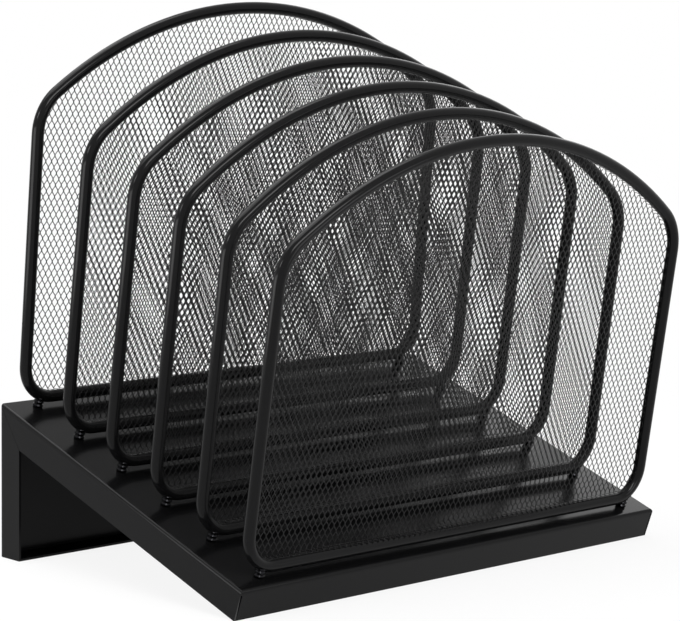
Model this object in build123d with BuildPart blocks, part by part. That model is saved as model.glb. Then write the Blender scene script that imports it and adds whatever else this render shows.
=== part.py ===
from build123d import *
import os
from collections import namedtuple
from math import atan2, ceil, cos, degrees, hypot, radians, sin, sqrt, tan

# Inclined desk file sorter: a folded sheet-steel stand that carries six arched
# dividers of round wire and expanded-metal mesh, with five slots between them.
# Millimetres and degrees. +X is right, -Y is the front and +Z is up. The origin
# is on the desk, under the middle of the sorter.

# Stand, one folded sheet
deck_width = 300.0
deck_length = 198.7
deck_slope = 19.23
flange_depth = 16.2
sheet = 1.2
inner_bend = 0.6
seam_gap = 0.5
seam_margin = 0.8

# Divider frames, measured to the middle of the wire: the two at the ends are a little
# larger than those between them. Leans are from upright, rear one first.
divider_leans = (4.8, 6.9, 7.7, 7.7, 7.6, 8.6)
front_setback = 8.6
end_side_inset = 8.1
end_frame_height = 201.3
end_arch_radius = 221.0
inner_side_inset = 9.0
inner_frame_height = 200.1
inner_arch_radius = 210.0
shoulder_radius = 26.2
corner_radius = 17.1
wire_diameter = 6.3
wire_lift = 2.0

# Mesh panels, whose drawn gaps each span a few of the real cells both ways
mesh_thickness = 0.5
rim_depth = 3.6
edge_band = 1.6
cell_width = 3.7
cell_height = 6.1
strand_width = 0.45
cells_per_gap = 4
weld_clearance = 0.1

# Studs, washers and nuts
stud_inset = 9.0
stud_diameter = 5.4
thread_diameter = 3.0
hole_clearance = 0.2
thread_clearance = 0.05
thread_end = 1.5
washer_diameter = 7.0
washer_thickness = 0.5
nut_flats = 5.5
nut_height = 2.4
nut_room = 3.1

# Cuts run this far past what they cut
overrun = 2.0

# Values that follow from these
slope_sin = sin(radians(deck_slope))
slope_cos = cos(radians(deck_slope))
slope_tan = tan(radians(deck_slope))
leg_height = deck_length * slope_sin + flange_depth * slope_cos
bend_radius = sheet + inner_bend
seam_stop = bend_radius + seam_margin
nut_depth = sheet + washer_thickness + nut_height
rear_setback = nut_depth * slope_tan + sheet / slope_cos + nut_flats / 2 + nut_room
divider_count = len(divider_leans)
divider_pitch = (deck_length - rear_setback - front_setback) / (divider_count - 1)
FrameSize = namedtuple("FrameSize", "side height arch_radius")
end_size = FrameSize(deck_width / 2 - end_side_inset, end_frame_height, end_arch_radius)
inner_size = FrameSize(deck_width / 2 - inner_side_inset, inner_frame_height, inner_arch_radius)
wire_radius = wire_diameter / 2
wire_rise = wire_lift + wire_radius
stud_x = inner_size.side - stud_inset

# The leg is the rearmost piece, and the front divider's top the foremost
foot_reach = (deck_length - front_setback) * slope_cos + wire_rise * slope_sin
top_reach = end_size.height * sin(radians(divider_leans[-1])) + wire_radius
rear_y = (foot_reach + top_reach) / 2


def deck_point(run, rise):
    """A (y, z) point, by its run down the slope from the rear edge and its rise off the deck."""
    y = rear_y - run * slope_cos - rise * slope_sin
    z = leg_height - run * slope_sin + rise * slope_cos
    return y, z


def divider_run(index):
    """How far down the slope a divider stands, rear one first."""
    return rear_setback + index * divider_pitch


def frame_size(index):
    """The size of a divider's frame: its half width, height and arch radius."""
    at_end = index in (0, divider_count - 1)
    return end_size if at_end else inner_size


def divider_plane(index):
    """The plane of one divider: local X to the right, local Y up it, local Z to the front."""
    lean = radians(divider_leans[index])
    y, z = deck_point(divider_run(index), wire_rise)
    return Plane(origin=(0, y, z), x_dir=(1, 0, 0), z_dir=(0, -cos(lean), -sin(lean)))


# The deck's top face: local X to the right, local Y up the slope from the rear edge
deck_plane = Plane(
    origin=(0, rear_y, leg_height), x_dir=(1, 0, 0), z_dir=(0, -slope_sin, slope_cos)
)

os.makedirs("parts", exist_ok=True)


def save(piece, name):
    """Label one finished piece and write it."""
    piece.part.label = name
    export_step(piece.part, f"parts/{name}.step")


# Stand: a sloping deck and an upright rear leg, folded from one sheet, with flanges
# all round. The block is the folded sheet's outside, and the hollow its inside.
leg_front = rear_y - flange_depth
mitre_corner = (leg_front, leg_height - flange_depth * (slope_tan + 1 / slope_cos))
with BuildPart() as stand_block:
    with BuildSketch(Plane.YZ):
        with BuildLine():
            Polyline(
                (rear_y, leg_height),
                deck_point(deck_length, 0),
                deck_point(deck_length, -flange_depth),
                mitre_corner,
                (leg_front, 0),
                (rear_y, 0),
                close=True,
            )
        make_face()
    extrude(amount=deck_width / 2, both=True)
    deck_top = stand_block.faces().filter_by(deck_plane).sort_by(Axis.Z)[-1]
    leg_back = stand_block.faces().sort_by(Axis.Y)[-1]
    fillet(deck_top.edges() + leg_back.edges().sort_by(Axis.Z)[:-1], bend_radius)

inner_rear = rear_y - sheet
with BuildPart() as stand_hollow:
    with BuildSketch(Plane.YZ):
        with BuildLine():
            Polyline(
                (inner_rear, leg_height - sheet * (slope_tan + 1 / slope_cos)),
                deck_point(deck_length - sheet, -sheet),
                deck_point(deck_length - sheet, -flange_depth - overrun),
                (leg_front - overrun, sheet),
                (inner_rear, sheet),
                close=True,
            )
        make_face()
    extrude(amount=deck_width / 2 - sheet, both=True)
    hollow_top = stand_hollow.faces().filter_by(deck_plane).sort_by(Axis.Z)[-1]
    hollow_back = stand_hollow.faces().sort_by(Axis.Y)[-1]
    inner_folds = hollow_top.edges() + hollow_back.edges().sort_by(Axis.Z)[:-1]
    fillet(inner_folds, inner_bend)

# Seams where flanges meet: beside the front flange, beside the leg's lip, and the
# mitre of the side flanges, each stopped short of the fold.
seam_x = deck_width / 2 - sheet - seam_gap / 2
mitre_length = hypot(flange_depth, leg_height - mitre_corner[1])
mitre_angle = degrees(atan2(leg_height - mitre_corner[1], flange_depth))
mitre_plane = Plane(
    origin=(deck_width / 2 + overrun, rear_y, leg_height),
    x_dir=(0, mitre_corner[0] - rear_y, mitre_corner[1] - leg_height),
    z_dir=(1, 0, 0),
)
mitre_start = seam_stop / cos(radians(mitre_angle))
with BuildPart() as seams:
    with BuildSketch(deck_plane.offset(-seam_stop)):
        with Locations((seam_x, -deck_length)):
            Rectangle(seam_gap, 2 * (sheet + overrun))
    extrude(amount=-(flange_depth - seam_stop + overrun))
    with BuildSketch(Plane.XY.offset(-overrun)):
        with Locations((seam_x, leg_front - overrun)):
            lip_seam = flange_depth - seam_stop + overrun
            Rectangle(seam_gap, lip_seam, align=(Align.CENTER, Align.MIN))
    extrude(amount=sheet + 2 * overrun)
    with BuildSketch(mitre_plane):
        with Locations((mitre_start, 0)):
            mitre_seam = mitre_length - mitre_start + overrun
            Rectangle(mitre_seam, seam_gap, align=(Align.MIN, Align.CENTER))
    extrude(amount=-(sheet + 2 * overrun))
    mirror(about=Plane.YZ)

stud_grid = (0, -(divider_run(0) + divider_run(divider_count - 1)) / 2)
with BuildPart() as stand:
    add(stand_block.part)
    add(stand_hollow.part, mode=Mode.SUBTRACT)
    add(seams.part, mode=Mode.SUBTRACT)
    with BuildSketch(deck_plane):
        with Locations(stud_grid):
            with GridLocations(2 * stud_x, divider_pitch, 2, divider_count):
                Circle(thread_diameter / 2 + hole_clearance)
    extrude(amount=-(sheet + overrun), mode=Mode.SUBTRACT)
save(stand, "stand")


def shoulder(size):
    """The height of a frame's shoulder arcs, and how far each turns before it meets the arch."""
    across = size.side - shoulder_radius
    climb = sqrt((size.arch_radius - shoulder_radius) ** 2 - across**2)
    return size.height - size.arch_radius + climb, degrees(atan2(climb, across))


def frame_outline(size, inset):
    """Draw a frame's closed outline, moved inwards by inset from the middle of the wire."""
    shoulder_height, shoulder_turn = shoulder(size)
    half = size.side - inset
    corner = corner_radius - inset
    shoulder_bend = shoulder_radius - inset
    bottom = Line((corner - half, inset), (half - corner, inset))
    right_corner = JernArc(bottom @ 1, bottom % 1, corner, 90)
    right_side = Line(right_corner @ 1, (half, shoulder_height))
    right_shoulder = JernArc(right_side @ 1, right_side % 1, shoulder_bend, shoulder_turn)
    arch_turn = 180 - 2 * shoulder_turn
    arch = JernArc(right_shoulder @ 1, right_shoulder % 1, size.arch_radius - inset, arch_turn)
    left_shoulder = JernArc(arch @ 1, arch % 1, shoulder_bend, shoulder_turn)
    left_side = Line(left_shoulder @ 1, (-half, corner_radius))
    JernArc(left_side @ 1, left_side % 1, corner, 90)


def bend_frame(size):
    """A divider frame: round wire bent to an arch, with its butt weld in the bottom run.

    Half of it is swept, from the weld to the arch's top, and mirrored.
    """
    shoulder_height, shoulder_turn = shoulder(size)
    with BuildPart() as wire_frame:
        with BuildLine() as half_loop:
            bottom_run = Line((0, 0), (size.side - corner_radius, 0))
            bottom_bend = JernArc(bottom_run @ 1, bottom_run % 1, corner_radius, 90)
            side_run = Line(bottom_bend @ 1, (size.side, shoulder_height))
            top_bend = JernArc(side_run @ 1, side_run % 1, shoulder_radius, shoulder_turn)
            JernArc(top_bend @ 1, top_bend % 1, size.arch_radius, 90 - shoulder_turn)
        with BuildSketch(Plane.YZ):
            Circle(wire_radius)
        sweep(path=half_loop.line)
        mirror(about=Plane.YZ)
    return wire_frame.part


panel_inset = wire_radius + weld_clearance
gap_pitch_x = cell_width * cells_per_gap
gap_pitch_y = cell_height * cells_per_gap
cell_side = hypot(gap_pitch_x, gap_pitch_y) / 2
cell_apothem = gap_pitch_x * gap_pitch_y / (4 * cell_side)
gap_share = 1 - strand_width * cells_per_gap / (2 * cell_apothem)
gap_half_x = gap_share * gap_pitch_x / 2
gap_half_y = gap_share * gap_pitch_y / 2


def cut_panel(size):
    """A mesh panel: expanded sheet at the back of the wire, one holed face thick.

    Its edge is turned forward along the inside of the wire.
    """
    with BuildSketch() as mesh_field:
        with BuildLine():
            frame_outline(size, panel_inset + edge_band)
        make_face()
    field = mesh_field.sketch.face()
    gap_rows = ceil(2 * size.height / gap_pitch_y)
    gap_columns = ceil(2 * size.side / gap_pitch_x)
    gap_centres = []
    for row in range(gap_rows):
        for column in range(-gap_columns, gap_columns + 1):
            if (row + column) % 2 == 0:
                centre = Vector(column * gap_pitch_x / 2, panel_inset + row * gap_pitch_y / 2)
                if field.is_inside(centre):
                    gap_centres.append(centre)
    print("gaps in a mesh panel", len(gap_centres))
    with BuildSketch() as mesh_gaps:
        with Locations(*gap_centres):
            Polygon((gap_half_x, 0), (0, gap_half_y), (-gap_half_x, 0), (0, -gap_half_y))
        add(mesh_field.sketch, mode=Mode.INTERSECT)
    with BuildPart() as mesh_panel:
        with BuildSketch(Plane.XY.offset(-wire_radius)):
            with BuildLine():
                frame_outline(size, panel_inset)
            make_face()
            add(mesh_gaps.sketch, mode=Mode.SUBTRACT)
        extrude(amount=mesh_thickness)
        with BuildSketch(Plane.XY.offset(-wire_radius)):
            with BuildLine():
                frame_outline(size, panel_inset)
            make_face()
            with BuildLine():
                frame_outline(size, panel_inset + mesh_thickness)
            make_face(mode=Mode.SUBTRACT)
        extrude(amount=rim_depth)
    return mesh_panel.part


# Dividers: each frame with its panel and its two studs, shouldered on the deck and
# welded under the wire's bottom bends.
wire_frames = {size: bend_frame(size) for size in (end_size, inner_size)}
mesh_panels = {size: cut_panel(size) for size in (end_size, inner_size)}
thread_length = nut_depth + thread_end
for index in range(divider_count):
    size = frame_size(index)
    with BuildPart() as frame:
        with Locations(divider_plane(index)):
            add(wire_frames[size], clean=False)
    save(frame, f"divider_frame_{index + 1}")

    with BuildPart() as panel:
        with Locations(divider_plane(index)):
            add(mesh_panels[size], clean=False)
    save(panel, f"divider_mesh_{index + 1}")

    bend_start = size.side - corner_radius
    stud_inner = max(stud_x - stud_diameter / 2 - bend_start, 0)
    stud_rise = corner_radius - sqrt(corner_radius**2 - stud_inner**2)
    stud_top = wire_rise + stud_rise * cos(radians(deck_slope - divider_leans[index]))
    stud_places = ((-stud_x, -divider_run(index)), (stud_x, -divider_run(index)))
    with BuildPart() as studs:
        with BuildSketch(deck_plane):
            with Locations(*stud_places):
                Circle(stud_diameter / 2)
        extrude(amount=stud_top)
        add(frame.part, mode=Mode.SUBTRACT)
        with BuildSketch(deck_plane):
            with Locations(*stud_places):
                Circle(thread_diameter / 2)
        extrude(amount=-thread_length)
    save(studs, f"divider_studs_{index + 1}")

# Washers and nuts on the studs' threads, under the deck
with BuildPart() as washers:
    with BuildSketch(deck_plane.offset(-sheet)):
        with Locations(stud_grid):
            with GridLocations(2 * stud_x, divider_pitch, 2, divider_count):
                Circle(washer_diameter / 2)
                Circle(thread_diameter / 2 + hole_clearance, mode=Mode.SUBTRACT)
    extrude(amount=-washer_thickness)
save(washers, "stud_washers")

with BuildPart() as nuts:
    with BuildSketch(deck_plane.offset(-sheet - washer_thickness)):
        with Locations(stud_grid):
            with GridLocations(2 * stud_x, divider_pitch, 2, divider_count):
                RegularPolygon(nut_flats / 2, 6, major_radius=False, rotation=30)
                Circle(thread_diameter / 2 + thread_clearance, mode=Mode.SUBTRACT)
    extrude(amount=-nut_height)
save(nuts, "stud_nuts")
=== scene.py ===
from collections import namedtuple
from math import acos, asin, atan2, ceil, cos, pi, radians, sin, tan

import bmesh
import bpy
from mathutils import Matrix, Vector


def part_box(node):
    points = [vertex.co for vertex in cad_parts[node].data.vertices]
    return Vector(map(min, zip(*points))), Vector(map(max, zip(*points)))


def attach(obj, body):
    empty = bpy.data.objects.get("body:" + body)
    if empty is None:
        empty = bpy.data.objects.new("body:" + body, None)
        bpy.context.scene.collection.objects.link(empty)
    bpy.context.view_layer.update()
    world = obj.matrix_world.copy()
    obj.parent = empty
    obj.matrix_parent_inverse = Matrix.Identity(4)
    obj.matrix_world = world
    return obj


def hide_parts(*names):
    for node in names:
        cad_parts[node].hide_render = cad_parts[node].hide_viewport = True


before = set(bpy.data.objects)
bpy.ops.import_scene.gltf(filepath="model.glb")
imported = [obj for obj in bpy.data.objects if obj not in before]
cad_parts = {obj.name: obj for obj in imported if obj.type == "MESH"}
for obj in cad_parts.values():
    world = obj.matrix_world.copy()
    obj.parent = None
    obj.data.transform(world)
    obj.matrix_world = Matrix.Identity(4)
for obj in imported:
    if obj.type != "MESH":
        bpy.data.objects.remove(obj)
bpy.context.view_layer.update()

# Stand
# One sheet of mild steel, cut flat, folded into a sloping deck with an upright rear leg,
# and powder-coated black. Flanges stiffen every side, and butt with a narrow seam.
mm = 0.001
deck_slope = radians(19.23)
deck_length = 198.7 * mm
flange_depth = 16.2 * mm
sheet = 1.2 * mm
fold_radius = 1.8 * mm
fold_steps = 5
seam_gap = 0.15 * mm
seam_stop = 2.6 * mm
cut_edge_round = 0.2 * mm
cut_edge_angle = radians(60)
soft_angle = radians(35)
square_on = 0.999
coat_dark = "#0a0a0a"
coat_light = "#101011"
speck_size = 0.35 * mm
peel_depth = 0.02 * mm
peel_strength = 0.25

stand_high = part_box("stand")[1]
half_width = stand_high.x
rear_y = stand_high.y
leg_height = deck_length * sin(deck_slope) + flange_depth * cos(deck_slope)
leg_front = rear_y - flange_depth
deck_up = Vector((0, -sin(deck_slope), cos(deck_slope)))
downhill = Vector((0, -cos(deck_slope), -sin(deck_slope)))
rear_edge = Vector((0, rear_y, leg_height))
mitre_drop = flange_depth * (tan(deck_slope) + 1 / cos(deck_slope))
mitre_corner = Vector((0, leg_front, leg_height - mitre_drop))
mitre_line = (mitre_corner - rear_edge).normalized()
mitre_across = mitre_line.cross(Vector((1, 0, 0)))
mitre_start = seam_stop / cos(atan2(mitre_drop, flange_depth))


def once(items):
    """These items in order, each of them once, so that every run builds the same mesh."""
    return list(dict.fromkeys(items))


def cut(mesh, faces, point, normal):
    """Split these faces along a plane, and return what they were split into."""
    edges = once(edge for face in faces for edge in face.edges)
    corners = once(corner for face in faces for corner in face.verts)
    made = bmesh.ops.bisect_plane(
        mesh, geom=[*faces, *edges, *corners], plane_co=point, plane_no=normal
    )
    return [item for item in made["geom"] if isinstance(item, bmesh.types.BMFace)]


def finish_piece(mesh, name, slot, finish, *nodes):
    """Turn a finished bmesh into a smooth-shaded piece that stands for its nodes."""
    data = bpy.data.meshes.new(name)
    mesh.to_mesh(data)
    mesh.free()
    data.shade_smooth()
    data.set_sharp_from_angle(angle=soft_angle)
    data.materials.append(finish)
    piece = bpy.data.objects.new(name, data)
    bpy.context.scene.collection.objects.link(piece)
    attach(piece, "root")
    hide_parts(*nodes)
    return piece


def colour(code):
    """An sRGB hex code as linear red, green, blue and alpha."""
    shares = [int(code[at : at + 2], 16) / 255 for at in (1, 3, 5)]
    return [s / 12.92 if s <= 0.04045 else ((s + 0.055) / 1.055) ** 2.4 for s in shares] + [1]


def node(tree, kind, links=(), **settings):
    """Add a node, set its inputs by name and its settings, and link sockets into it."""
    made = tree.nodes.new(kind)
    for key, value in settings.items():
        socket = made.inputs.get(key.replace("_", " "))
        if socket is not None:
            socket.default_value = value
        else:
            setattr(made, key, value)
    for socket_name, source in links:
        tree.links.new(source, made.inputs[socket_name])
    return made


def new_finish(name):
    """An empty node material, with its tree and its output."""
    finish = bpy.data.materials.new(name)
    finish.use_nodes = True
    finish.node_tree.nodes.clear()
    output = finish.node_tree.nodes.new("ShaderNodeOutputMaterial")
    return finish, finish.node_tree, output


def powder_coat(name, shine, smooth, rough, peel_size):
    """Black powder coat, satin: paint dust baked to a skin that flows out almost flat.

    It keeps a faint orange peel, which breaks up the edge of each reflection.
    """
    coat, tree, output = new_finish(name)
    place = node(tree, "ShaderNodeTexCoord")
    peel = node(
        tree, "ShaderNodeTexNoise", [("Vector", place.outputs["Object"])],
        Scale=1 / peel_size, Detail=1.0, Roughness=0.4,
    )
    speck = node(
        tree, "ShaderNodeTexNoise", [("Vector", place.outputs["Object"])],
        Scale=1 / speck_size, Detail=2.0, Roughness=0.6,
    )
    gloss = node(
        tree, "ShaderNodeMapRange", [("Value", speck.outputs["Fac"])], To_Min=smooth, To_Max=rough
    )
    skin = node(
        tree, "ShaderNodeBump", [("Height", peel.outputs["Fac"])],
        Strength=peel_strength, Distance=peel_depth,
    )
    tint = node(tree, "ShaderNodeMix", [("Factor", speck.outputs["Fac"])], data_type="RGBA")
    tint.inputs["A"].default_value = colour(coat_dark)
    tint.inputs["B"].default_value = colour(coat_light)
    paint = node(
        tree, "ShaderNodeBsdfPrincipled",
        [
            ("Base Color", tint.outputs["Result"]),
            ("Roughness", gloss.outputs["Result"]),
            ("Normal", skin.outputs["Normal"]),
        ],
        IOR=1.5, Specular_IOR_Level=shine,
    )
    tree.links.new(paint.outputs["BSDF"], output.inputs["Surface"])
    return coat


stand_coat = powder_coat(
    "black_satin_powder_coat", shine=0.10, smooth=0.15, rough=0.24, peel_size=1.6 * mm
)

side_profile = [
    rear_edge,
    rear_edge + downhill * deck_length,
    rear_edge + downhill * deck_length - deck_up * flange_depth,
    mitre_corner,
    Vector((0, leg_front, 0)),
    Vector((0, rear_y, 0)),
]
stand = bmesh.new()
side = stand.faces.new([stand.verts.new(p - Vector((half_width, 0, 0))) for p in side_profile])
across = bmesh.ops.extrude_face_region(stand, geom=[side])["geom"]
far_side = [item for item in across if isinstance(item, bmesh.types.BMVert)]
bmesh.ops.translate(stand, verts=far_side, vec=(2 * half_width, 0, 0))
bmesh.ops.recalc_face_normals(stand, faces=stand.faces)
under_deck = min(stand.faces, key=lambda face: face.normal.dot(deck_up))
inside_leg = min(stand.faces, key=lambda face: face.normal.y)
bmesh.ops.delete(stand, geom=[under_deck, inside_leg], context="FACES_ONLY")
deck = max(stand.faces, key=lambda face: face.normal.dot(deck_up))
leg = max(stand.faces, key=lambda face: face.normal.y)
bmesh.ops.bevel(
    stand, geom=once([*deck.edges, *leg.edges]), offset=fold_radius, offset_type="OFFSET",
    affect="EDGES", segments=fold_steps, profile=0.5, material=-1,
)

# Seams are cut where two flanges meet, and each stops short of the fold
seam_x = half_width - sheet - seam_gap
front = max(stand.faces, key=lambda face: (face.normal.dot(downhill), face.calc_area()))
lip = min(stand.faces, key=lambda face: (face.normal.z, -face.calc_area()))
for flange, stop_point, stop_normal in (
    (front, rear_edge - deck_up * seam_stop, -deck_up),
    (lip, Vector((0, rear_y - seam_stop, 0)), Vector((0, -1, 0))),
):
    free = [f for f in cut(stand, [flange], stop_point, stop_normal)
            if (f.calc_center_median() - stop_point).dot(stop_normal) > 0]
    for sign in (-1, 1):
        free = cut(stand, free, (sign * seam_x, 0, 0), (sign, 0, 0))
    ends = [f for f in free if abs(f.calc_center_median().x) > seam_x]
    bmesh.ops.delete(stand, geom=ends, context="FACES")
for sign in (-1, 1):
    flanges = [f for f in stand.faces if f.normal.x * sign > square_on]
    for offset in (-seam_gap / 2, seam_gap / 2):
        flanges = cut(stand, flanges, rear_edge + mitre_across * offset, mitre_across)
    strip = [f for f in flanges
             if abs((f.calc_center_median() - rear_edge).dot(mitre_across)) < seam_gap / 2]
    strip = cut(stand, strip, rear_edge + mitre_line * mitre_start, mitre_line)
    open_part = [f for f in strip
                 if (f.calc_center_median() - rear_edge).dot(mitre_line) > mitre_start]
    bmesh.ops.delete(stand, geom=open_part, context="FACES")

stand_piece = finish_piece(stand, "folded_stand", "stand_coat", stand_coat, "stand")
walls = stand_piece.modifiers.new("sheet", "SOLIDIFY")
walls.thickness = sheet
walls.offset = -1
walls.use_even_offset = True
edges = stand_piece.modifiers.new("cut_edges", "BEVEL")
edges.width = cut_edge_round
edges.segments = 2
edges.limit_method = "ANGLE"
edges.angle_limit = cut_edge_angle
edges.harden_normals = True

# Divider frames
# Six loops of cold-drawn round steel wire, each bent to an arch, butt-welded and
# powder-coated black. They lean a little to the front, and the two at the ends are larger.
wire_diameter = 6.3 * mm
wire_sides = 28
corner_radius = 17.1 * mm
shoulder_radius = 26.2 * mm
end_arch_radius = 221.0 * mm
inner_arch_radius = 210.0 * mm
corner_steps = 14
shoulder_steps = 12
arch_steps = 20
wire_radius = wire_diameter / 2
end_dividers = (1, 6)
inner_dividers = (2, 3, 4, 5)
merge_distance = 0.01 * mm

FrameShape = namedtuple(
    "FrameShape", "side height arch_radius arch_y corner_x shoulder_x shoulder_y shoulder_turn"
)


def divider_foot_and_top(index):
    """The middle of a divider's wire at the bottom and at the top of the arch."""
    low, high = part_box(f"divider_frame_{index}")
    foot = Vector((0, high.y - wire_radius, low.z + wire_radius))
    top = Vector((0, low.y + wire_radius, high.z - wire_radius))
    return foot, top


def divider_place(index):
    """Where a divider stands, as a matrix: local X to the right, Y up it and Z to the front."""
    foot, top = divider_foot_and_top(index)
    right = Vector((1, 0, 0))
    up = (top - foot).normalized()
    turn = Matrix((right, up, right.cross(up))).transposed()
    return Matrix.Translation(foot) @ turn.to_4x4()


def frame_shape(index, arch_radius):
    """The sizes of a divider's frame, and where its bends start and end."""
    foot, top = divider_foot_and_top(index)
    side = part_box(f"divider_frame_{index}")[1].x - wire_radius
    height = (top - foot).length
    shoulder_x = side - shoulder_radius
    shoulder_turn = acos(shoulder_x / (arch_radius - shoulder_radius))
    arch_y = height - arch_radius
    shoulder_y = arch_y + (arch_radius - shoulder_radius) * sin(shoulder_turn)
    return FrameShape(
        side, height, arch_radius, arch_y, side - corner_radius, shoulder_x, shoulder_y, shoulder_turn
    )


def carry(mesh, ring, centre=(0, 0, 0), angle=0.0, run=(0, 0, 0), steps=1):
    """Carry the wire's open end round a bend, or along a straight run, and return its new end."""
    made = bmesh.ops.spin(
        mesh, geom=ring, cent=centre, axis=(0, 0, 1), angle=angle, dvec=run, steps=steps
    )
    return made["geom_last"]


def bend_wire(shape):
    """A closed loop of wire: half of it is carried round from the weld, and mirrored."""
    wire = bmesh.new()
    upright = Matrix.Rotation(pi / 2, 4, "Y")
    bmesh.ops.create_circle(wire, segments=wire_sides, radius=wire_radius, matrix=upright)
    end = [*wire.verts, *wire.edges]
    end = carry(wire, end, run=(shape.corner_x, 0, 0))
    end = carry(wire, end, (shape.corner_x, corner_radius, 0), pi / 2, steps=corner_steps)
    end = carry(wire, end, run=(0, shape.shoulder_y - corner_radius, 0))
    shoulder_centre = (shape.shoulder_x, shape.shoulder_y, 0)
    end = carry(wire, end, shoulder_centre, shape.shoulder_turn, steps=shoulder_steps)
    carry(wire, end, (0, shape.arch_y, 0), pi / 2 - shape.shoulder_turn, steps=arch_steps)
    whole = [*wire.verts, *wire.edges, *wire.faces]
    bmesh.ops.mirror(wire, geom=whole, axis="X", merge_dist=merge_distance)
    bmesh.ops.remove_doubles(wire, verts=wire.verts, dist=merge_distance)
    bmesh.ops.recalc_face_normals(wire, faces=wire.faces)
    return wire


wire_coat = powder_coat(
    "black_satin_powder_coat_on_wire", shine=0.12, smooth=0.10, rough=0.17, peel_size=1.2 * mm
)
frame_shapes = {
    end_dividers: frame_shape(end_dividers[0], end_arch_radius),
    inner_dividers: frame_shape(inner_dividers[0], inner_arch_radius),
}
for dividers, shape in frame_shapes.items():
    wire = bend_wire(shape)
    for index in dividers:
        loop = wire.copy()
        bmesh.ops.transform(loop, matrix=divider_place(index), verts=loop.verts)
        finish_piece(loop, f"wire_frame_{index}", "wire_coat", wire_coat, f"divider_frame_{index}")
    wire.free()

# Mesh panels
# Expanded steel: a thin sheet, slit and pulled open into small pointed cells, cut to the
# frame, and its edge turned forward and spot-welded along the inside of the wire.
cell_width = 3.7 * mm
cell_height = 6.1 * mm
bond_width = 0.66 * mm
bond_height = 0.9 * mm
bond_point = 0.25 * mm
strand_twist = 0.035 * mm
mesh_thickness = 0.18 * mm
rim_depth = 3.6 * mm
weld_clearance = 0.1 * mm
outline_step = radians(4)
spare_cells = 3
mostly_flat = 0.5
fold_inset = wire_radius + weld_clearance

# Each sheet lies a little askew on its frame: its turn in degrees, and where it sets a bond
# across and up from the middle of the bottom wire, in mm
sheet_lays = {
    1: (-1.9, 1.1, -1.1),
    2: (-1.4, -0.9, -1.3),
    3: (-1.7, 0.7, 0.0),
    4: (-2.3, 0.0, 0.0),
    5: (-1.4, 0.6, 1.5),
    6: (-0.9, 1.1, -0.3),
}


def outline(shape, turn, inset):
    """The point of a frame's outline, moved in by inset, whose outward normal has this turn."""
    side = 1 if cos(turn) >= 0 else -1
    climb = asin(sin(turn))
    if climb <= 0:
        centre, radius = Vector((side * shape.corner_x, corner_radius, 0)), corner_radius
    elif climb <= shape.shoulder_turn:
        centre, radius = Vector((side * shape.shoulder_x, shape.shoulder_y, 0)), shoulder_radius
    else:
        centre, radius = Vector((0, shape.arch_y, 0)), shape.arch_radius
    return centre + Vector((cos(turn), sin(turn), 0)) * (radius - inset)


def past_fold(shape, point):
    """The nearest point on the fold line, and how far past it a point lies."""
    x, y = abs(point.x), point.y
    half = shape.side - fold_inset
    over = y - shape.shoulder_y
    if x > shape.corner_x and y < corner_radius:
        centre, radius = Vector((shape.corner_x, corner_radius, 0)), corner_radius - fold_inset
    elif over > 0 and atan2(over, max(x - shape.shoulder_x, 0)) < shape.shoulder_turn:
        centre = Vector((shape.shoulder_x, shape.shoulder_y, 0))
        radius = shoulder_radius - fold_inset
    elif over > 0:
        centre, radius = Vector((0, shape.arch_y, 0)), shape.arch_radius - fold_inset
    elif x - half > fold_inset - y:
        return Vector((half, y, 0)), x - half
    else:
        return Vector((x, fold_inset, 0)), fold_inset - y
    away = Vector((x, y, 0)) - centre
    return centre + away.normalized() * radius, away.length - radius


def repeat(mesh, step, times):
    """Repeat all of a mesh this many times in a row."""
    whole = [*mesh.verts, *mesh.edges, *mesh.faces]
    for place in range(1, times):
        made = bmesh.ops.duplicate(mesh, geom=whole)["geom"]
        copies = [v for v in made if isinstance(v, bmesh.types.BMVert)]
        bmesh.ops.translate(mesh, verts=copies, vec=Vector(step) * place)


def expand_sheet(shape):
    """Expanded sheet larger than a frame: bonds in staggered rows, each with two strands up."""
    expanded = bmesh.new()
    bmesh.ops.create_grid(expanded, x_segments=2, y_segments=1, size=0.5)
    bmesh.ops.scale(expanded, verts=expanded.verts, vec=(bond_width, bond_height, 1))
    for corner in expanded.verts:
        end = 1 if corner.co.y > 0 else -1
        corner.co.z = -end * strand_twist
        if abs(corner.co.x) < bond_width / 4:
            corner.co.y += end * bond_point
            corner.co.z = end * strand_twist
    starts = [e for e in expanded.edges if e.is_boundary and min(v.co.y for v in e.verts) > 0]
    strand_x = (cell_width - bond_width) / 2
    strand_y = cell_height / 2 - bond_height - bond_point
    for start in starts:
        side = 1 if sum(v.co.x for v in start.verts) > 0 else -1
        made = bmesh.ops.extrude_edge_only(expanded, edges=[start])["geom"]
        ends = [v for v in made if isinstance(v, bmesh.types.BMVert)]
        bmesh.ops.translate(expanded, verts=ends, vec=(side * strand_x, strand_y, 0))
    half_columns = ceil(shape.side / cell_width) + spare_cells
    rows = ceil(shape.height / cell_height) + 2 * spare_cells
    repeat(expanded, (cell_width / 2, cell_height / 2, 0), 2)
    repeat(expanded, (cell_width, 0, 0), 2 * half_columns)
    repeat(expanded, (0, cell_height, 0), rows)
    first_bond = (-half_columns * cell_width, -spare_cells * cell_height, 0)
    bmesh.ops.translate(expanded, verts=expanded.verts, vec=first_bond)
    bmesh.ops.remove_doubles(expanded, verts=expanded.verts, dist=merge_distance)
    return expanded


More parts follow.
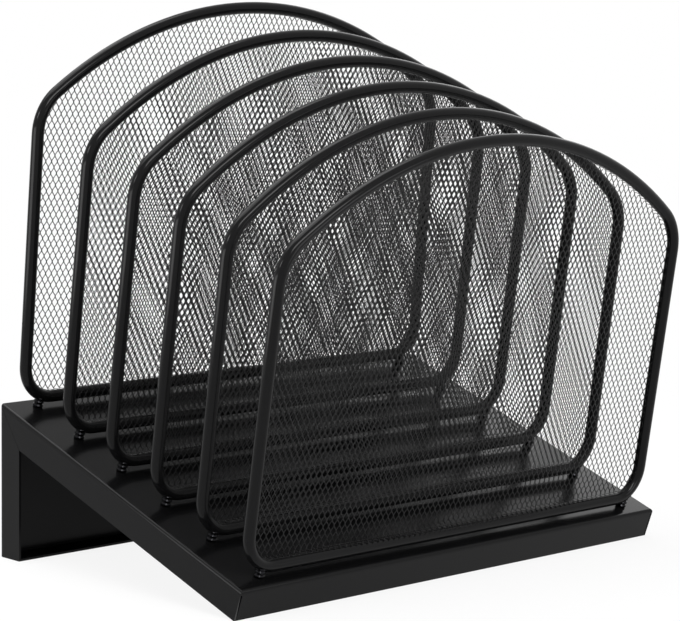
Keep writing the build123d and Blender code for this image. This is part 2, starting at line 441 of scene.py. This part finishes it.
def cut_panel(expanded, shape, turn, across, up):
    """A panel of expanded sheet, laid askew, trimmed all round, with its edge turned forward."""
    panel = expanded.copy()
    lay = Matrix.Translation((across * mm, up * mm, 0)) @ Matrix.Rotation(radians(turn), 4, "Z")
    bmesh.ops.transform(panel, matrix=lay, verts=panel.verts)
    past = {corner: past_fold(shape, corner.co)[1] for corner in panel.verts}
    offcuts = [f for f in panel.faces if min(past[v] for v in f.verts) > 2 * rim_depth]
    bmesh.ops.delete(panel, geom=offcuts, context="FACES")
    rim_faces = [f for f in panel.faces if max(past[v] for v in f.verts) > 0]
    rim_edges = once(edge for face in rim_faces for edge in face.edges)
    rim_corners = once(corner for face in rim_faces for corner in face.verts)
    rim = [*rim_faces, *rim_edges, *rim_corners]
    for inset, trim in ((fold_inset - rim_depth, True), (fold_inset, False)):
        for step in range(round(2 * pi / outline_step)):
            angle = step * outline_step
            rim = bmesh.ops.bisect_plane(
                panel, geom=rim, dist=merge_distance / 10, clear_outer=trim,
                plane_co=outline(shape, angle, inset), plane_no=(cos(angle), sin(angle), 0),
            )["geom"]
    for corner in panel.verts:
        nearest, distance = past_fold(shape, corner.co)
        if distance > 0:
            side = 1 if corner.co.x > 0 else -1
            corner.co = Vector((side * nearest.x, nearest.y, distance))
    bmesh.ops.translate(panel, verts=panel.verts, vec=(0, 0, -wire_radius))
    # The flat part faces the rear, so that its thickness is added to the front
    for face in panel.faces:
        if face.normal.z > mostly_flat:
            face.normal_flip()
    return panel


mesh_coat = powder_coat(
    "black_satin_powder_coat_on_mesh", shine=0.22, smooth=0.26, rough=0.38, peel_size=0.5 * mm
)
for dividers, shape in frame_shapes.items():
    expanded = expand_sheet(shape)
    for index in dividers:
        panel = cut_panel(expanded, shape, *sheet_lays[index])
        bmesh.ops.transform(panel, matrix=divider_place(index), verts=panel.verts)
        piece = finish_piece(
            panel, f"mesh_panel_{index}", "mesh_coat", mesh_coat, f"divider_mesh_{index}"
        )
        gauge = piece.modifiers.new("gauge", "SOLIDIFY")
        gauge.thickness = mesh_thickness
        gauge.offset = -1
    expanded.free()

# Studs
# Two short turned steel studs under each frame, ridged and blackened. They are welded into
# the wire's bottom bends and stand on the deck, and a thinner thread goes through it.
stud_x = 132.0 * mm
stud_radius = 2.7 * mm
stud_height = 6.2 * mm
ridges = 3
ridge_depth = 0.5 * mm
crest_start = 0.3
crest_end = 0.6
groove_start = 0.9
thread_radius = 1.5 * mm
thread_pitch = 0.5 * mm
thread_depth = 0.25 * mm
threads = 11
turned_sides = 24
divider_count = len(end_dividers) + len(inner_dividers)


def turn_piece(profile, closed):
    """Turn a profile of (radius, height) points about the upright axis."""
    turned = bmesh.new()
    corners = [turned.verts.new((radius, 0, height)) for radius, height in profile]
    edges = [turned.edges.new(pair) for pair in zip(corners, corners[1:])]
    if closed:
        edges.append(turned.edges.new((corners[-1], corners[0])))
    bmesh.ops.spin(
        turned, geom=[*corners, *edges], cent=(0, 0, 0), axis=(0, 0, 1), angle=2 * pi,
        steps=turned_sides, use_merge=True,
    )
    bmesh.ops.remove_doubles(turned, verts=turned.verts, dist=merge_distance)
    bmesh.ops.recalc_face_normals(turned, faces=turned.faces)
    return turned


def deck_places(index):
    """Where a divider's two studs stand on the deck, as matrices with Z square to the deck."""
    foot = divider_foot_and_top(index)[0]
    run = (foot - rear_edge).dot(downhill)
    turn = Matrix.Rotation(deck_slope, 4, "X")
    for side in (-1, 1):
        yield Matrix.Translation(rear_edge + downhill * run + Vector((side * stud_x, 0, 0))) @ turn


def set_copies(blank, places):
    """Copies of a small piece, one at each place, in one mesh."""
    joined = bmesh.new()
    data = bpy.data.meshes.new("blank")
    blank.to_mesh(data)
    for place in places:
        before = len(joined.verts)
        joined.from_mesh(data)
        joined.verts.ensure_lookup_table()
        bmesh.ops.transform(joined, matrix=place, verts=joined.verts[before:])
    bpy.data.meshes.remove(data)
    return joined


def zinc_plating(name, dark, light, smooth, rough, bloom_size, bloom_detail):
    """Zinc plating on steel: a thin skin of metal, clouded a little by the bath."""
    plating, tree, output = new_finish(name)
    place = node(tree, "ShaderNodeTexCoord")
    bloom = node(
        tree, "ShaderNodeTexNoise", [("Vector", place.outputs["Object"])],
        Scale=1 / bloom_size, Detail=bloom_detail,
    )
    gloss = node(
        tree, "ShaderNodeMapRange", [("Value", bloom.outputs["Fac"])], To_Min=smooth, To_Max=rough
    )
    tint = node(tree, "ShaderNodeMix", [("Factor", bloom.outputs["Fac"])], data_type="RGBA")
    tint.inputs["A"].default_value = colour(dark)
    tint.inputs["B"].default_value = colour(light)
    metal = node(
        tree, "ShaderNodeBsdfPrincipled",
        [("Base Color", tint.outputs["Result"]), ("Roughness", gloss.outputs["Result"])],
        Metallic=1.0,
    )
    tree.links.new(metal.outputs["BSDF"], output.inputs["Surface"])
    return plating


# Black zinc plating on turned steel: thin and hard, so it stays metal bright on each crest
black_zinc = zinc_plating(
    "black_zinc_plating_on_turned_steel", "#1a1a1b", "#262628",
    smooth=0.08, rough=0.16, bloom_size=0.8 * mm, bloom_detail=2.0,
)

thread_bottom = -threads * thread_pitch
profile = [(0, thread_bottom)]
for step in range(threads):
    height = thread_bottom + step * thread_pitch
    profile.append((thread_radius - thread_depth, height))
    profile.append((thread_radius, height + thread_pitch / 2))
profile.append((thread_radius - thread_depth, 0))
ridge_pitch = stud_height / ridges
for step in range(ridges):
    height = step * ridge_pitch
    profile.append((stud_radius - ridge_depth, height))
    profile.append((stud_radius, height + ridge_pitch * crest_start))
    profile.append((stud_radius, height + ridge_pitch * crest_end))
    profile.append((stud_radius - ridge_depth, height + ridge_pitch * groove_start))
profile.append((0, stud_height))
stud = turn_piece(profile, closed=False)
for index in range(1, divider_count + 1):
    pair = set_copies(stud, deck_places(index))
    finish_piece(pair, f"ridged_studs_{index}", "stud_plating", black_zinc, f"divider_studs_{index}")
stud.free()

# Washers
# Twelve plain washers, punched from thin steel strip and zinc-plated. Each lies under the
# deck, on a stud's thread.
washer_radius = 3.5 * mm
washer_bore = 1.7 * mm
washer_thickness = 0.5 * mm
punched_round = 0.1 * mm

# Bright zinc plating: cool grey metal with a soft bloom, lightly uneven from the bath
bright_zinc = zinc_plating(
    "bright_zinc_plating", "#a9adb2", "#c6c8c9",
    smooth=0.22, rough=0.42, bloom_size=1.5 * mm, bloom_detail=3.0,
)

washer_top = -sheet
washer_foot = washer_top - washer_thickness
washer = turn_piece(
    [
        (washer_bore, washer_top),
        (washer_radius - punched_round, washer_top),
        (washer_radius, washer_top - punched_round),
        (washer_radius, washer_foot),
        (washer_bore, washer_foot),
    ],
    closed=True,
)
all_places = [place for index in range(1, divider_count + 1) for place in deck_places(index)]
finish_piece(
    set_copies(washer, all_places), "plain_washers", "fastener_plating", bright_zinc, "stud_washers"
)
washer.free()

# Nuts
# Twelve hexagon nuts, cold-formed and zinc-plated, with chamfered corners. They clamp the
# studs, and so the dividers, to the deck from below.
nut_flats = 5.5 * mm
nut_height = 2.4 * mm
nut_chamfer = 0.5 * mm
nut_bore = 1.55 * mm
nut_top = washer_foot
nut_foot = nut_top - nut_height
corner_reach = nut_flats / 2 / cos(pi / 6)
nut = turn_piece(
    [
        (nut_bore, nut_top),
        (corner_reach, nut_top),
        (corner_reach, nut_foot + nut_chamfer),
        (corner_reach - nut_chamfer, nut_foot),
        (nut_bore + nut_chamfer / 2, nut_foot),
        (nut_bore, nut_foot + nut_chamfer / 2),
    ],
    closed=True,
)
for corner in nut.verts:
    around = atan2(corner.co.y, corner.co.x) % (pi / 3) - pi / 6
    flat_reach = nut_flats / 2 / cos(around)
    reach = corner.co.to_2d().length
    if reach > flat_reach:
        corner.co.xy *= flat_reach / reach
finish_piece(
    set_copies(nut, all_places), "hexagon_nuts", "fastener_plating", bright_zinc, "stud_nuts"
)
nut.free()

# Setting
# A pale studio table that runs out to white, soft lights, and the camera.
floor_size = 8.0
fade_start = 0.25
fade_end = 0.60
near_share = 0.88
room_level = 0.3
aim_height = 0.15

bpy.ops.mesh.primitive_plane_add(size=floor_size)
floor = bpy.context.object
floor.name = "floor"


def seen_directly(tree):
    """1 for rays that show the background itself: camera, glossy and transmission rays."""
    rays = node(tree, "ShaderNodeLightPath")
    seen = node(
        tree, "ShaderNodeMath",
        [(0, rays.outputs["Is Camera Ray"]), (1, rays.outputs["Is Glossy Ray"])], operation="MAXIMUM",
    )
    return node(
        tree, "ShaderNodeMath",
        [(0, seen.outputs[0]), (1, rays.outputs["Is Transmission Ray"])], operation="MAXIMUM",
    )


# White table: shadows stay near the object, and further out it fades to the white behind it
floor_finish, tree, output = new_finish("white_studio_table")
place = node(tree, "ShaderNodeTexCoord")
reach = node(tree, "ShaderNodeVectorMath", [(0, place.outputs["Object"])], operation="LENGTH")
fade = node(
    tree, "ShaderNodeMapRange", [("Value", reach.outputs["Value"])],
    From_Min=fade_start, From_Max=fade_end, To_Min=near_share, To_Max=1.0,
)
share = node(
    tree, "ShaderNodeMath",
    [(0, seen_directly(tree).outputs[0]), (1, fade.outputs["Result"])], operation="MULTIPLY",
)
table = node(tree, "ShaderNodeBsdfDiffuse", Color=colour("#f4f4f4"))
glow = node(tree, "ShaderNodeEmission", Color=colour("#ffffff"), Strength=1.0)
both = node(
    tree, "ShaderNodeMixShader", [(0, share.outputs[0]), (1, table.outputs[0]), (2, glow.outputs[0])]
)
tree.links.new(both.outputs[0], output.inputs["Surface"])
floor.data.materials.append(floor_finish)

world = bpy.data.worlds.new("studio")
bpy.context.scene.world = world
world.use_nodes = True
tree = world.node_tree
tree.nodes.clear()
level = node(
    tree, "ShaderNodeMapRange", [("Value", seen_directly(tree).outputs[0])],
    To_Min=room_level, To_Max=1.0,
)
room = node(
    tree, "ShaderNodeBackground", [("Strength", level.outputs["Result"])], Color=colour("#ffffff")
)
node(tree, "ShaderNodeOutputWorld", [("Surface", room.outputs[0])])

# Softboxes: the way to each from the sorter, then how far off it is, its width and its height
# in metres, and its brightness, where 1 is as bright as the white behind the sorter
aim = Vector((0, 0, aim_height))
for name, toward, away, width, tall, brightness in (
    ("overhead_softbox", (-0.10, 0.30, 0.95), 1.7, 1.6, 1.6, 3.6),
    ("right_fill", (0.82, 0.36, 0.45), 1.7, 0.7, 0.6, 1.0),
    ("front_key", (-0.15, -0.82, 0.56), 1.8, 1.2, 0.4, 11.0),
    ("left_key", (-0.88, 0.17, 0.44), 1.7, 0.3, 0.3, 14.0),
    ("left_strip", (-0.96, 0.25, 0.00), 0.75, 0.5, 0.25, 5.0),
    ("front_fill", (0.30, -0.95, 0.00), 0.95, 0.5, 0.28, 3.0),
):
    lamp = bpy.data.lights.new(name, "AREA")
    lamp.shape = "RECTANGLE"
    lamp.size = width
    lamp.size_y = tall
    lamp.energy = brightness * pi * width * tall
    light = bpy.data.objects.new(name, lamp)
    light.location = aim + Vector(toward).normalized() * away
    light.rotation_euler = (aim - light.location).to_track_quat("-Z", "Y").to_euler()
    light.visible_camera = False
    bpy.context.scene.collection.objects.link(light)

camera_turn = radians(-43.922)
camera_climb = radians(7.080)
camera_roll = radians(0.846)
camera_distance = 1436.0 * mm
camera_shift_right = 65.94 * mm
camera_shift_up = 36.92 * mm
sensor_width = 36.0
focal_length = 137.33
level_part = cos(camera_climb)
back = Vector((sin(camera_turn) * level_part, -cos(camera_turn) * level_part, sin(camera_climb)))
right = Vector((cos(camera_turn), sin(camera_turn), 0))
up = back.cross(right)
eye = rear_edge + back * camera_distance + right * camera_shift_right + up * camera_shift_up
turned = Matrix((right, up, back)).transposed() @ Matrix.Rotation(camera_roll, 3, "Z")
lens = bpy.data.cameras.new("camera")
lens.sensor_width = sensor_width
lens.lens = focal_length
lens.clip_start = 0.05
lens.clip_end = 50
camera = bpy.data.objects.new("camera", lens)
camera.matrix_world = Matrix.Translation(eye) @ turned.to_4x4()
bpy.context.scene.collection.objects.link(camera)
bpy.context.scene.camera = camera
bpy.context.scene.view_settings.view_transform = "Standard"
